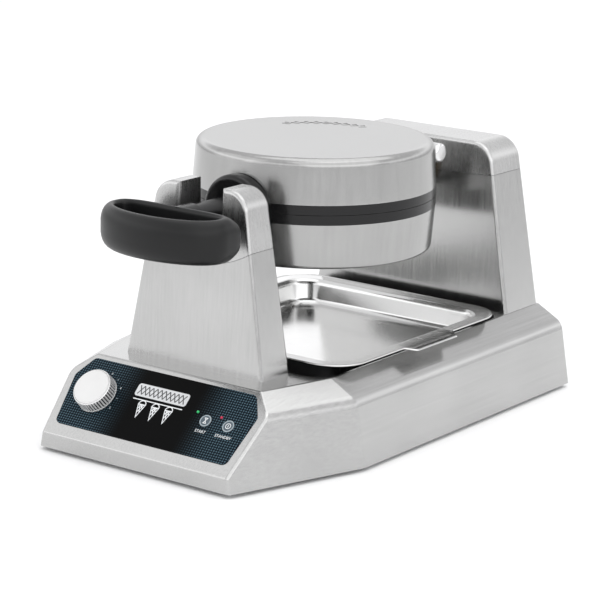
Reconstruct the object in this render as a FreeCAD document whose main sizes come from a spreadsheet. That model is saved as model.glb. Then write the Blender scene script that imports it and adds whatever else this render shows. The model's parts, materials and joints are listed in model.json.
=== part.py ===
"""Waffle cone maker: a turn-over round waffle head between two posts on a flared steel base.

Millimetres. +Z up, +Y to the back, +X to the right of someone who stands in front of the machine. The
origin lies on the surface that the feet stand on, in the middle of the outer box.
"""
import FreeCAD, Part
import math
import os
import re

import Sketcher
from FreeCAD import Placement, Rotation, Vector

SIZES = {
    # base housing
    "foot_height": 3.0, "skin_wall": 1.5,
    "base_front": -210.4, "base_back": 205.6, "flare_length": 116.4,
    "front_half": 92.5, "back_half": 131.6,
    "shoulder_top": 54.6, "shoulder_half": 122.4, "shoulder_front_half": 83.0,
    "deck_top": 67.6, "deck_half": 98.3, "deck_front_half": 64.5,
    "lip_top": 15.1, "panel_angle": 44.73, "shoulder_round": 12.0,
    "fold_round": 10.0, "edge_round": 3.0,
    # tray and its well
    "well_half": 97.2, "well_front": -102.0, "well_back": 152.0, "well_floor": 51.4, "well_round": 20.0,
    "tray_half": 107.1, "tray_front": -91.6, "tray_back": 140.0, "tray_top": 75.0, "tray_round": 30.0,
    "tray_flange": 12.5, "tray_inset": 15.0, "tray_floor": 51.8, "tray_wall": 1.0, "tray_cove": 6.0,
    "tab_front": -10.3, "tab_back": 60.4, "tab_end": 116.3,
    # round waffle head
    "axis_height": 182.2, "head_y": 13.7, "shell_radius": 97.5, "shell_end_radius": 94.8,
    "shell_reach": 43.2, "shell_wall": 4.0, "shell_round": 3.5, "lid_round": 6.5,
    "rim_half": 7.8, "split_half": 0.2, "rim_bore": 88.0,
    "plate_radius": 87.5, "plate_back": 6.5,
    # front stem, collar and handle
    "boss_front": -93.9, "boss_radius": 28.0, "stem_radius": 12.6, "stem_front": -141.0,
    "handle_back": -149.7, "handle_middle": -171.2, "handle_front": -204.6, "handle_half": 58.3,
    "handle_top": 196.1, "handle_bottom": 162.5, "handle_wall": 11.0, "handle_round": 10.0,
    # front post and yoke
    "post_deck_half": 66.4, "post_top_half": 42.2, "post_deck_front": -139.2, "post_deck_back": -103.2,
    "post_top_front": -131.8, "post_top_back": -103.8, "tower_top": 208.3,
    "yoke_seam_radius": 96.7, "yoke_seam_low": 149.2, "notch_half": 20.5, "horn_round": 18.0,
    "post_chamfer": 3.0,
    # rear post and cap
    "rear_deck_half": 97.9, "rear_top_half": 73.0, "rear_deck_front": 155.2, "rear_deck_back": 205.4,
    "rear_top_front": 159.4, "rear_top_back": 203.0, "cap_seam_radius": 1500.0, "cap_round": 20.0,
    "post_wall": 2.0, "seam_gap": 0.3,
    # spindle and hinge
    "spindle_radius": 12.0, "spindle_front": 118.0, "spindle_back": 196.0, "spindle_bore": 7.0,
    "bush_radius": 18.0, "bush_gap": 0.05, "flange_front": 151.0, "flange_back": 157.2,
    "hinge_y": 122.4, "hinge_z": 202.5, "knuckle_radius": 7.8, "hinge_pin_radius": 4.0,
    "ear_low": 18.5, "ear_width": 9.0, "arm_low": 28.0, "arm_width": 9.5, "seat_half": 36.5,
    "pin_half": 38.2, "pin_head": 12.0, "pin_head_radius": 8.0,
    # control panel
    "knob_x": -58.6, "knob_s": 41.0, "knob_radius": 16.7, "knob_height": 11.6, "knob_flutes": 44,
    "start_x": 47.5, "standby_x": 69.0, "key_s": 40.7, "key_radius": 4.9,
    "ready_x": 37.0, "power_x": 59.5, "lamp_s": 46.4, "lamp_radius": 1.1,
    "board_low": -13.0, "board_top": -11.4, "film_height": 0.6,
    # cord entry
    "gland_x": -70.0, "gland_z": 26.0, "gland_radius": 8.0, "gland_bore": 4.0, "gland_end": 210.4,
}

doc = FreeCAD.newDocument("waffle_cone_maker")
dims = doc.addObject("Spreadsheet::Sheet", "dims")
for row, (alias, size) in enumerate(SIZES.items(), 1):
    dims.set(f"A{row}", alias)
    dims.set(f"B{row}", str(size))
    dims.setAlias(f"B{row}", alias)
doc.recompute()

nodes = []
ALONG_X = Rotation(Vector(0, 1, 0), 90)
ALONG_Y = Rotation(Vector(1, 0, 0), -90)
ALONG_Z = Rotation()


def number(text):
    """The value of an expression in the sheet's names."""
    return float(dims.evalExpression(text))


def bound(text):
    """The same expression as other objects write it: every name read from the sheet."""
    return re.sub(r"[a-z]+_\w+", lambda found: "dims." + found.group(), text)


PANEL_TURN = Rotation(Vector(1, 0, 0), number("panel_angle"))


def on_panel(x, along, out):
    """A point given across the control panel, up its slope from the lip, and out from its face."""
    return (x,
            f"base_front + ({along}) * cos(panel_angle) - ({out}) * sin(panel_angle)",
            f"lip_top + ({along}) * sin(panel_angle) + ({out}) * cos(panel_angle)")


def place(item, at, turn=ALONG_Z):
    item.Placement = Placement(Vector(), turn)
    for axis, text in zip("xyz", at):
        item.setExpression("Placement.Base." + axis, bound(text))
    return item


def block(size, at, turn=ALONG_Z):
    """A box from its low corner."""
    item = doc.addObject("Part::Box", "block")
    for side, text in zip(("Length", "Width", "Height"), size):
        item.setExpression(side, bound(text))
    return place(item, at, turn)


def slab(low, high):
    """A box between two corners."""
    return block([f"({b}) - ({a})" for a, b in zip(low, high)], low)


def rod(radius, length, at, turn=ALONG_Z):
    item = doc.addObject("Part::Cylinder", "rod")
    item.setExpression("Radius", bound(radius))
    item.setExpression("Height", bound(length))
    return place(item, at, turn)


def tube(radius, bore, length, at, turn=ALONG_Z):
    return cut(rod(radius, length, at, turn), rod(bore, length, at, turn))


def cut(base, *tools):
    for tool in tools:
        item = doc.addObject("Part::Cut", "cut")
        item.Base, item.Tool = base, tool
        base = item
    return base


def common(base, tool):
    item = doc.addObject("Part::Common", "common")
    item.Base, item.Tool = base, tool
    return item


def fuse(*items):
    item = doc.addObject("Part::MultiFuse", "fuse")
    item.Shapes = list(items)
    item.Refine = True
    return item


def several(*items):
    """Identical pieces that share a node."""
    item = doc.addObject("Part::Compound", "several")
    item.Links = list(items)
    return item


def rounded(item, *rules):
    """Rounds edges: each rule is a radius and a test that picks the edges it belongs to."""
    doc.recompute()
    edges = []
    for radius, pick in rules:
        size = number(radius)
        edges += [(i, size, size) for i, edge in enumerate(item.Shape.Edges, 1) if pick(edge)]
    if len(edges) < len(rules):
        raise ValueError(f"no edge to round on {item.Label}")
    result = doc.addObject("Part::Fillet", "rounded")
    result.Base, result.Edges = item, edges
    return result


def middle(edge):
    return edge.valueAt((edge.FirstParameter + edge.LastParameter) / 2)


def straight(edge, direction, slack=0.05):
    """Whether an edge is a line along a direction, within a slope."""
    if len(edge.Vertexes) < 2:
        return False
    run = edge.Vertexes[1].Point - edge.Vertexes[0].Point
    return run.Length > 0.5 and run.normalize().cross(direction).Length < slack


def node(label, item):
    item.Label = label
    nodes.append(item)
    return item


# ---- sketches and bodies ----

def origin_plane(body, role):
    return next(f for f in body.Origin.OriginFeatures if f.Role == role)


def sketch(body, role, offset="0"):
    item = body.newObject("Sketcher::SketchObject", "outline")
    item.AttachmentSupport = [(origin_plane(body, role), "")]
    item.MapMode = "FlatFace"
    item.setExpression("AttachmentOffset.Base.z", bound(offset))
    return item


def hold(item, index, end, x, y):
    """Ties a sketch point to the sheet."""
    for kind, axis, text in (("DistanceX", -2, x), ("DistanceY", -1, y)):
        if text == "0":
            item.addConstraint(Sketcher.Constraint("PointOnObject", index, end, axis))
        else:
            spot = item.addConstraint(Sketcher.Constraint(kind, -1, 1, index, end, number(text)))
            item.setExpression(f"Constraints[{spot}]", bound(text))


def polygon(item, points):
    first = item.GeometryCount
    corners = [Vector(number(x), number(y), 0) for x, y in points]
    count = len(corners)
    for i in range(count):
        item.addGeometry(Part.LineSegment(corners[i], corners[(i + 1) % count]))
    for i in range(count):
        item.addConstraint(Sketcher.Constraint("Coincident", first + i, 2, first + (i + 1) % count, 1))
    for i, (x, y) in enumerate(points):
        hold(item, first + i, 1, x, y)


def circle(item, x, y, radius):
    index = item.addGeometry(Part.Circle(Vector(number(x), number(y), 0), Vector(0, 0, 1), number(radius)))
    hold(item, index, 3, x, y)
    spot = item.addConstraint(Sketcher.Constraint("Radius", index, number(radius)))
    item.setExpression(f"Constraints[{spot}]", bound(radius))


def mirrored(points):
    """A closed outline from the right half of it, listed from front to back."""
    return points + [(f"-({x})", y) for x, y in reversed(points)]


def body_of(at=("0", "0", "0"), turn=ALONG_Z):
    return place(doc.addObject("PartDesign::Body", "body"), at, turn)


def padded(body, outline, length):
    pad = body.newObject("PartDesign::Pad", "pad")
    pad.Profile = outline
    pad.setExpression("Length", bound(length))
    outline.Visibility = False
    return pad


def revolved(points, at=("0", "0", "0"), turn=ALONG_Z):
    """A body turned about its own Z from points given as radius and height."""
    body = body_of(at, turn)
    outline = sketch(body, "XZ_Plane")
    polygon(outline, points)
    turned = body.newObject("PartDesign::Revolution", "turned")
    turned.Profile = outline
    turned.ReferenceAxis = (outline, ["V_Axis"])
    turned.Angle = 360
    return body


def dress(body, kind, radius, pick):
    """Adds a PartDesign fillet or chamfer to the edges that pick chooses on the body's tip."""
    doc.recompute()
    tip = body.Tip
    names = [f"Edge{i}" for i, edge in enumerate(tip.Shape.Edges, 1) if pick(edge)]
    if not names:
        raise ValueError("no edge to dress on " + body.Label)
    item = body.newObject("PartDesign::" + kind, kind.lower())
    item.Base = (tip, names)
    item.setExpression("Radius" if kind == "Fillet" else "Size", bound(radius))
    return body


def at_height(edge, height, radius=None):
    """Whether an edge is a circle at a local height, and of a radius when one is given."""
    curve = edge.Curve
    return (isinstance(curve, Part.Circle) and abs(curve.Center.z - number(height)) < 0.01
            and (radius is None or abs(curve.Radius - number(radius)) < 0.01))


def loft(*sections):
    """A ruled solid through closed outlines, each given with its height."""
    item = doc.addObject("Part::Loft", "loft")
    outlines = []
    for points, height in sections:
        outline = doc.addObject("Sketcher::SketchObject", "section")
        polygon(outline, points)
        place(outline, ("0", "0", height))
        outlines.append(outline)
    item.Sections, item.Solid, item.Ruled = outlines, True, True
    return item


# ---- base ----

def base_form(inset):
    """The flared base as a solid, its faces moved in by a wall."""
    front, back = f"base_front + {inset}", f"base_back - {inset}"
    bend = f"base_front + flare_length + 0.3 * {inset}"

    def outline(front_half, half):
        return mirrored([(front_half, front), (half, bend), (half, back)])

    low = "foot_height" if inset == "0" else "foot_height - 1"
    form = loft(
        (outline(f"front_half - 0.7 * {inset}", f"back_half - 1.02 * {inset}"), low),
        (outline(f"shoulder_front_half - 0.6 * {inset}", f"shoulder_half - 0.9 * {inset}"),
         f"shoulder_top - 0.67 * {inset}"),
        (outline(f"deck_front_half + 0.3 * {inset}", f"deck_half - 0.27 * {inset}"),
         f"deck_top - {inset}"),
    )
    above = block(("400", "220", "120"), on_panel("-200", "-60", f"-({inset})"), PANEL_TURN)
    form = cut(form, above)
    level = number(f"shoulder_top - 0.67 * {inset}")

    def along(edge, side, place):
        return all(abs(getattr(v.Point, side) - place) < 0.05 for v in edge.Vertexes)

    def shoulder(edge):
        return along(edge, "z", level) and middle(edge).y < number("base_back") - 2

    def fold(edge):
        return along(edge, "y", number("base_front + flare_length"))

    def trim(edge):
        return not (shoulder(edge) or fold(edge) or along(edge, "z", number("foot_height"))
                    or along(edge, "y", number("base_back")))

    if inset != "0":
        return rounded(form, ("shoulder_round", shoulder))
    return rounded(form, ("shoulder_round", shoulder), ("fold_round", fold), ("edge_round", trim))


def rounded_slab(low, high, radius):
    return rounded(slab(low, high), (radius, lambda edge: straight(edge, Vector(0, 0, 1))))


def panel_holes(start, depth):
    """The holes that the knob's shaft, the keys and the lamps come through."""
    spots = [("knob_x", "knob_s", "5"), ("start_x", "key_s", "key_radius + 0.25"),
             ("standby_x", "key_s", "key_radius + 0.25"), ("ready_x", "lamp_s", "lamp_radius + 0.15"),
             ("power_x", "lamp_s", "lamp_radius + 0.15")]
    return [rod(radius, depth, on_panel(x, along, start), PANEL_TURN) for x, along, radius in spots]


def build_base():
    shell = cut(base_form("0"), base_form("skin_wall"))
    opening = rounded_slab(("-well_half", "well_front", "deck_top - 10"),
                           ("well_half", "well_back", "deck_top + 5"), "well_round")
    cord_hole = rod("gland_radius + 0.1", "10", ("gland_x", "base_back - 6", "gland_z"), ALONG_Y)
    wire_hole = rod("14", "10", ("0", "rear_deck_front + 25", "deck_top - 5"))
    node("base_housing", cut(shell, opening, cord_hole, wire_hole, *panel_holes("-3", "6")))


def build_pan():
    inset, bend = "(skin_wall + 1)", "base_front + flare_length"
    body = body_of(("0", "0", "foot_height + 0.6"))
    outline = sketch(body, "XY_Plane")
    polygon(outline, mirrored([(f"front_half - {inset}", f"base_front + {inset}"),
                               (f"back_half - {inset}", bend),
                               (f"back_half - {inset}", f"base_back - {inset}")]))
    for x, y in FOOT_PLACES + PAN_SCREW_PLACES:
        circle(outline, x, y, "1.7")
    padded(body, outline, "1.2")
    node("bottom_pan", body)


FOOT_PLACES = [("-70", "base_front + 30"), ("70", "base_front + 30"),
               ("-112", "base_back - 22"), ("112", "base_back - 22")]
FOOT_NAMES = ["foot_front_left", "foot_front_right", "foot_rear_left", "foot_rear_right"]
PAN_SCREW_PLACES = [(x, y) for y in ("base_front + flare_length + 8", "20", "base_back - 60")
                    for x in ("-(back_half - 11)", "back_half - 11")]


def build_feet():
    for name, (x, y) in zip(FOOT_NAMES, FOOT_PLACES):
        foot = revolved([("1.7", "1.6"), ("4.5", "1.6"), ("4.5", "0"), ("9", "0"), ("10", "1"),
                         ("10", "foot_height + 0.6"), ("1.7", "foot_height + 0.6")], (x, y, "0"))
        node(name, foot)
    node("pan_blocks", several(*[
        cut(block(("8", "10", "10"), (f"({x}) - 4", f"({y}) - 5", "foot_height + 1.8")),
            rod("1.65", "10", (x, y, "foot_height + 1.8")))
        for x, y in PAN_SCREW_PLACES]))
    heads = [(x, y, "0.3") for x, y in FOOT_PLACES] + [(x, y, "foot_height - 0.6")
                                                      for x, y in PAN_SCREW_PLACES]
    node("base_screws", several(*[fuse(rod("3", "1.2", (x, y, low)), rod("1.6", "9", (x, y, f"{low} + 0.6")))
                                  for x, y, low in heads]))


def build_well():
    """An open sheet box under the deck's opening, which the tray stands in."""
    outer = rounded_slab(("-well_half - 1", "well_front - 1", "well_floor - 1"),
                         ("well_half + 1", "well_back + 1", "deck_top"), "well_round + 1")
    inner = rounded_slab(("-well_half", "well_front", "well_floor"),
                         ("well_half", "well_back", "deck_top + 1"), "well_round")
    node("tray_well", common(cut(outer, inner), base_form("(skin_wall + 0.2)")))


# ---- controls ----

def build_panel():
    film = body_of(on_panel("0", "0", "0"), PANEL_TURN)
    outline = sketch(film, "XY_Plane")
    polygon(outline, mirrored([("83", "10"), ("89", "53"), ("78.5", "70.5")]))
    padded(film, outline, "film_height")
    dress(film, "Fillet", "5", lambda edge: straight(edge, Vector(0, 0, 1)))
    film.Label = "film"
    node("control_overlay", cut(film, *panel_holes("-1", "3")))

    board = cut(block(("156", "50", "board_top - board_low"), on_panel("-78", "12", "board_low"), PANEL_TURN),
                *[rod("1.8", "4", on_panel(x, along, "board_low - 1"), PANEL_TURN)
                  for x, along in BOARD_CORNERS])
    node("control_board", board)
    node("board_standoffs", several(*[
        fuse(rod("3.5", "-skin_wall - board_top", on_panel(x, along, "board_top"), PANEL_TURN),
             rod("1.7", "3", on_panel(x, along, "board_low - 1"), PANEL_TURN))
        for x, along in BOARD_CORNERS]))
    node("timer_pot", cut(
        fuse(block(("17", "17", "6"), on_panel("knob_x - 8.5", "knob_s - 8.5", "board_top"), PANEL_TURN),
             rod("4.5", "3", on_panel("knob_x", "knob_s", "board_top + 6"), PANEL_TURN)),
        rod("3.05", "9", on_panel("knob_x", "knob_s", "board_top + 3"), PANEL_TURN)))
    for name, x in (("start_switch", "start_x"), ("standby_switch", "standby_x")):
        housing = block(("7", "7", "5"), on_panel(f"{x} - 3.5", "key_s - 3.5", "board_top"), PANEL_TURN)
        plunger = rod("1.7", "1", on_panel(x, "key_s", "board_top + 4.6"), PANEL_TURN)
        node(name, fuse(housing, plunger))
    for name, x in (("led_ready", "ready_x"), ("led_power", "power_x")):
        lamp = revolved([("0", "board_top"), ("1.3", "board_top"), ("1.3", "-2.5"), ("2", "-2.5"),
                         ("2", "-1.6"), ("lamp_radius", "-1.6"), ("lamp_radius", "0.7"),
                         ("0.8", "1.3"), ("0", "1.3")], on_panel(x, "lamp_s", "0"), PANEL_TURN)
        node(name, lamp)
    node("buzzer", rod("6", "6.5", on_panel("-12", "24", "board_top"), PANEL_TURN))
    node("relay", block(("28", "13", "15"), on_panel("10", "38", "board_low - 15"), PANEL_TURN))


BOARD_CORNERS = [(x, along) for x in ("-73", "73") for along in ("17", "57")]


def build_knob():
    at = on_panel("knob_x", "knob_s", "0")
    skirt = revolved([("3", "4"), ("12", "4"), ("12", "1"), ("knob_radius", "1"),
                      ("knob_radius", "3"), ("knob_radius - 0.7", "knob_height - 1.2"),
                      ("knob_radius - 1.2", "knob_height - 0.6"), ("knob_radius - 1.6", "knob_height - 0.6"),
                      ("knob_radius - 1.6", "knob_height - 2.5"), ("3", "knob_height - 2.5")], at, PANEL_TURN)
    outline = sketch(skirt, "XY_Plane", "1")
    circle(outline, "knob_radius + 0.1", "0", "0.8")
    flute = skirt.newObject("PartDesign::Pocket", "flute")
    flute.Profile = outline
    flute.setExpression("Length", bound("knob_height - 3"))
    flute.Reversed = True
    doc.recompute()
    pattern = skirt.newObject("PartDesign::PolarPattern", "flutes")
    pattern.Originals = [flute]
    pattern.Axis = (outline, ["N_Axis"])
    pattern.Angle = 360
    pattern.setExpression("Occurrences", bound("knob_flutes"))
    skirt.Tip = pattern
    node("knob_body", skirt)
    node("knob_cap", revolved([("0", "knob_height - 2.5"), ("knob_radius - 1.6", "knob_height - 2.5"),
                               ("knob_radius - 1.6", "knob_height - 0.5"),
                               ("knob_radius - 2.2", "knob_height"), ("0", "knob_height")], at, PANEL_TURN))
    node("knob_shaft", rod("3", "knob_height - 2.5 + 8.2", on_panel("knob_x", "knob_s", "-8.2"), PANEL_TURN))


def build_keys():
    """Each key is a cap in the overlay with a flange under the panel and a stem over its switch."""
    for name, x in (("start_key", "start_x"), ("standby_key", "standby_x")):
        key = revolved([("0", "-4.5"), ("2", "-4.5"), ("2", "-3"), ("key_radius + 1.2", "-3"),
                        ("key_radius + 1.2", "-1.9"), ("key_radius", "-1.9"), ("key_radius", "0.7"),
                        ("key_radius - 0.3", "1"), ("0", "1")],
                       on_panel(x, "key_s", "0"), PANEL_TURN)
        node(name, key)


# ---- things inside the base ----

def build_inside():
    core = slab(("-62", "152", "foot_height + 2.4"), ("-14", "194", "44"))
    coil = slab(("-54", "148", "12"), ("-22", "198", "36"))
    node("transformer", fuse(core, coil))
    terminals = cut(slab(("20", "152", "foot_height + 2.4"), ("72", "172", "22")),
                    *[rod("3", "10", (str(x), "162", "16")) for x in (28, 40, 52, 64)])
    node("terminal_block", terminals)
    gland = fuse(
        tube("12", "gland_bore", "gland_end - base_back", ("gland_x", "base_back", "gland_z"), ALONG_Y),
        tube("gland_radius", "gland_bore", "14", ("gland_x", "base_back - 14", "gland_z"), ALONG_Y))
    node("cord_gland", rounded(gland, ("2", lambda edge: isinstance(edge.Curve, Part.Circle)
                               and abs(edge.Curve.Radius - 12) < 0.01
                               and edge.Curve.Center.y > number("gland_end") - 0.01)))
    node("gland_locknut", tube("12", "gland_radius + 0.05", "4",
                               ("gland_x", "base_back - skin_wall - 4.2", "gland_z"), ALONG_Y))


# ---- posts ----

def post_form(deck_half, top_half, deck_front, top_front, deck_back, top_back, inset="0"):
    """A tapered four-sided tower."""
    def outline(half, front, back):
        return mirrored([(f"{half} - {inset}", f"{front} + {inset}"),
                         (f"{half} - {inset}", f"{back} - {inset}")])
    return loft((outline(deck_half, deck_front, deck_back), "deck_top"),
                (outline(top_half, top_front, top_back), "tower_top"))


def upright_edge(edge):
    """Whether an edge runs up a corner of a tower."""
    return straight(edge, Vector(0, 0, 1), 0.25) and abs(middle(edge).x) > 30


def cast_edge(edge, deck_y, top_y, seam_radius, seam_low):
    """Whether an edge bounds the front or back face of a cast top, other than along its seam."""
    first, last = edge.FirstParameter, edge.LastParameter
    points = [edge.valueAt(first + (last - first) * part) for part in (0, 0.3, 0.6, 1)]
    radius = number(seam_radius)
    seam_z = number(seam_low) + radius
    rise = number("tower_top - deck_top")
    lean = number(f"{top_y} - {deck_y}") / rise
    on_face = all(abs(p.y - number(deck_y) - lean * (p.z - number("deck_top"))) < 0.01 for p in points)
    on_seam = all(abs(math.hypot(p.x, p.z - seam_z) - radius) < 0.01 for p in points)
    return on_face and not on_seam


def front_form(inset="0"):
    return post_form("post_deck_half", "post_top_half", "post_deck_front", "post_top_front",
                     "post_deck_back", "post_top_back", inset)


def rear_form(inset="0"):
    return post_form("rear_deck_half", "rear_top_half", "rear_deck_front", "rear_top_front",
                     "rear_deck_back", "rear_top_back", inset)


def build_front_post():
    seam_z = "yoke_seam_low + yoke_seam_radius"
    start = "post_deck_front - 20"
    above_post = rod("yoke_seam_radius + seam_gap", "80", ("0", start, seam_z), ALONG_Y)
    above_yoke = rod("yoke_seam_radius", "80", ("0", start, seam_z), ALONG_Y)
    hollow = common(front_form("post_wall"), slab(("-80", start, "deck_top - 1"), ("80", "-80", "tower_top")))
    outside = rounded(front_form(), ("post_chamfer", upright_edge))
    node("front_post", cut(outside, above_post, hollow))
    yoke = common(front_form(), above_yoke)
    yoke = rounded(yoke, ("horn_round", lambda edge: straight(edge, Vector(0, 1, 0), 0.2)
                   and abs(middle(edge).z - number("tower_top")) < 0.1))
    notch = fuse(rod("notch_half", "60", ("0", start, "axis_height"), ALONG_Y),
                 slab(("-notch_half", start, "axis_height"), ("notch_half", "-90", "tower_top + 5")))
    screw_holes = [rod("2.05", "22", (x, "-118", "146")) for x in ("-31", "31")]
    yoke = rounded(cut(yoke, notch), ("post_chamfer", lambda edge: any(
        cast_edge(edge, deck_y, top_y, "yoke_seam_radius", "yoke_seam_low")
        for deck_y, top_y in (("post_deck_front", "post_top_front"), ("post_deck_back", "post_top_back")))))
    node("front_yoke", cut(yoke, *screw_holes))
    saddle = tube("notch_half - 0.1", "stem_radius + 0.1", "28.4", ("0", "-133", "axis_height"), ALONG_Y)
    node("front_saddle", common(saddle, slab(("-30", "-140", "150"), ("30", "-100", "axis_height + 4"))))
    frame = cut(slab(("-42", "-132", "deck_top"), ("42", "-107", "145")),
                slab(("-40", "-140", "deck_top - 1"), ("40", "-100", "142")),
                *[rod("2.2", "10", (x, "-118", "140")) for x in ("-31", "31")])
    node("front_post_frame", frame)
    node("yoke_screws", several(*[
        fuse(rod("3.6", "3", (x, "-118", "139")), rod("2", "24", (x, "-118", "141.5")))
        for x in ("-31", "31")]))


def build_rear_post():
    """The seam under the cap lies at the height of the head's axis, so the bearing sits in it."""
    start = "rear_deck_front - 20"
    seam_z = "axis_height - 2 + cap_seam_radius"
    above_post = rod("cap_seam_radius + seam_gap", "90", ("0", start, seam_z), ALONG_Y)
    above_cap = rod("cap_seam_radius", "90", ("0", start, seam_z), ALONG_Y)
    bearing_hole = ("bush_radius + 1", "40", ("0", start, "axis_height"), ALONG_Y)
    outside = rounded(rear_form(), ("post_chamfer", upright_edge))
    node("rear_post", cut(outside, above_post, common(rear_form("post_wall"), slab(
        ("-120", start, "deck_top - 1"), ("120", "230", "tower_top"))), rod(*bearing_hole)))
    cap = rounded(common(rear_form(), above_cap), ("cap_round",
                  lambda edge: straight(edge, Vector(0, 1, 0), 0.2)
                  and abs(middle(edge).z - number("tower_top")) < 0.1))
    cap = rounded(cap, ("post_chamfer", lambda edge: any(
        cast_edge(edge, deck_y, top_y, "cap_seam_radius", "axis_height - 2")
        for deck_y, top_y in (("rear_deck_front", "rear_top_front"), ("rear_deck_back", "rear_top_back")))))
    cap_inside = slab(("-62", "rear_top_front + 3", "axis_height - 10"),
                      ("62", "rear_top_back - 3", "tower_top - 4"))
    node("rear_cap", cut(cap, cap_inside, rod(*bearing_hole)))
    frame = cut(slab(("-62", "162", "deck_top"), ("62", "199", "159")),
                slab(("-60", "155", "deck_top - 1"), ("60", "210", "156")),
                *[rod("2.2", "10", (x, "180", "152")) for x in ("-24", "24")])
    node("rear_post_frame", frame)
    carrier = slab(("-34", "165", "159"), ("34", "193", "203.5"))
    node("bearing_block", cut(carrier, rod("bush_radius", "40", ("0", "160", "axis_height"), ALONG_Y),
                              *[rod("2.05", "10", (x, "180", "158")) for x in ("-24", "24")]))
    node("bearing_screws", several(*[
        fuse(rod("3.6", "3", (x, "180", "153")), rod("2", "10", (x, "180", "155.5")))
        for x in ("-24", "24")]))
    bush = fuse(rod("bush_radius", "193 - flange_front", ("0", "flange_front", "axis_height"), ALONG_Y),
                rod("20", "flange_back - flange_front", ("0", "flange_front", "axis_height"), ALONG_Y))
    node("rear_bush", cut(bush, rod("spindle_radius + bush_gap", "60", ("0", "145", "axis_height"), ALONG_Y)))


# ---- head ----

def half_space(side):
    """Everything in front of the head's back on one side of the split."""
    if side == "-":
        return slab(("-150", "-200", "axis_height - 80"), ("150", "150", "axis_height - split_half"))
    return slab(("-150", "-200", "axis_height + split_half"), ("150", "150", "axis_height + 80"))


def build_half(side, name):
    """One half of the head: shell, rim with half of the collar and stem, plate, element, thermostat."""
    def level(height):
        return f"axis_height {side} ({height})"

    centre = ("0", "head_y", "0")
    shell = revolved([("shell_radius - shell_wall", level("rim_half")), ("shell_radius", level("rim_half")),
                      ("shell_end_radius", level("shell_reach")), ("0", level("shell_reach")),
                      ("0", level("shell_reach - shell_wall")),
                      ("shell_end_radius - shell_wall", level("shell_reach - shell_wall"))], centre)
    dress(shell, "Fillet", "shell_round" if side == "-" else "lid_round",
          lambda edge: at_height(edge, level("shell_reach")))
    node(name + "_shell", shell)

    base = "axis_height - rim_half" if side == "-" else "axis_height + split_half"
    ring = tube("shell_radius", "rim_bore", "rim_half - split_half", ("0", "head_y", base))
    boss = rod("boss_radius", "20", ("0", "boss_front", "axis_height"), ALONG_Y)
    boss = rounded(boss, ("4", lambda edge: isinstance(edge.Curve, Part.Circle)
                   and abs(edge.Curve.Center.y - number("boss_front")) < 0.01))
    stem = rod("stem_radius", "boss_front - stem_front + 1", ("0", "stem_front", "axis_height"), ALONG_Y)
    front = common(cut(fuse(boss, stem), rod("shell_radius", "100", ("0", "head_y", "axis_height - 50"))),
                   half_space(side))
    node(name + "_rim", fuse(ring, front))

    plate = revolved([("0", level("0.5")), ("plate_radius - 6", level("0.5")),
                      ("plate_radius - 5", level("split_half")), ("plate_radius", level("split_half")),
                      ("plate_radius", level("plate_back")), ("0", level("plate_back"))], centre)
    node(name + "_plate", plate)

    element = doc.addObject("Part::Torus", "element")
    element.Radius1, element.Radius2 = 60, 4
    place(element, ("0", "head_y", level("plate_back + 4")))
    node(name + "_element", element)
    pot = "axis_height - plate_back - 9" if side == "-" else "axis_height + plate_back"
    node(name + "_thermostat", rod("9", "9", ("0", "head_y - 25", pot)))
    low = "axis_height - shell_reach + shell_wall" if side == "-" else "axis_height + plate_back"
    node(name + "_studs", several(*[
        rod("3", "shell_reach - shell_wall - plate_back",
            (f"78 * cos({angle})", f"head_y + 78 * sin({angle})", low))
        for angle in (45, 135, 225, 315)]))


def build_head():
    for side, name in (("-", "lower"), ("+", "upper")):
        build_half(side, name)


def build_hinge():
    """Two-ear bracket behind the lower half, arms on the upper half, and the pin through both."""
    joining = slab(("-seat_half", "90", "axis_height - 21"),
                   ("seat_half", "hinge_y + knuckle_radius", "axis_height + 8"))
    clear_of_head = rod("shell_radius", "120", ("0", "head_y", "axis_height - 60"))
    pin_hole = rod("hinge_pin_radius + 0.05", "120", ("-60", "hinge_y", "hinge_z"), ALONG_X)
    seat = cut(joining, clear_of_head,
               slab(("-60", "60", "axis_height - 0.4"), ("60", "hinge_y - 11", "axis_height + 30")))
    hub = rod("19", "148 - 128", ("0", "128", "axis_height"), ALONG_Y)
    ears = []
    for low in ("ear_low", "-(ear_low + ear_width)"):
        ears.append(rod("knuckle_radius", "ear_width", (low, "hinge_y", "hinge_z"), ALONG_X))
        ears.append(slab((low, "hinge_y - 7", "axis_height + 4"),
                         (f"{low} + ear_width", "hinge_y + knuckle_radius", "hinge_z")))
    node("hinge_bracket", cut(fuse(seat, hub, *ears), pin_hole,
                              rod("spindle_radius", "40", ("0", "spindle_front", "axis_height"), ALONG_Y)))

    arms = []
    for low in ("arm_low", "-(arm_low + arm_width)"):
        arm = fuse(rod("knuckle_radius", "arm_width", (low, "hinge_y", "hinge_z"), ALONG_X),
                   slab((low, "80", "hinge_z - 2"),
                        (f"{low} + arm_width", "hinge_y", "hinge_z + knuckle_radius")))
        arms.append(cut(arm, clear_of_head, pin_hole))
    node("hinge_arms", several(*arms))
    pin = fuse(rod("hinge_pin_radius", "2 * pin_half", ("-pin_half", "hinge_y", "hinge_z"), ALONG_X),
               rod("pin_head_radius", "pin_head", ("pin_half", "hinge_y", "hinge_z"), ALONG_X),
               rod("pin_head_radius", "pin_head", ("-pin_half - pin_head", "hinge_y", "hinge_z"), ALONG_X))
    node("hinge_pin", rounded(pin, ("3", lambda edge: isinstance(edge.Curve, Part.Circle)
                              and abs(abs(edge.Curve.Center.x) - number("pin_half + pin_head")) < 0.01)))
    node("rear_spindle", tube("spindle_radius", "spindle_bore", "spindle_back - spindle_front",
                              ("0", "spindle_front", "axis_height"), ALONG_Y))
    node("spindle_ring", tube("16", "spindle_radius", "2", ("0", "193.4", "axis_height"), ALONG_Y))


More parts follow.
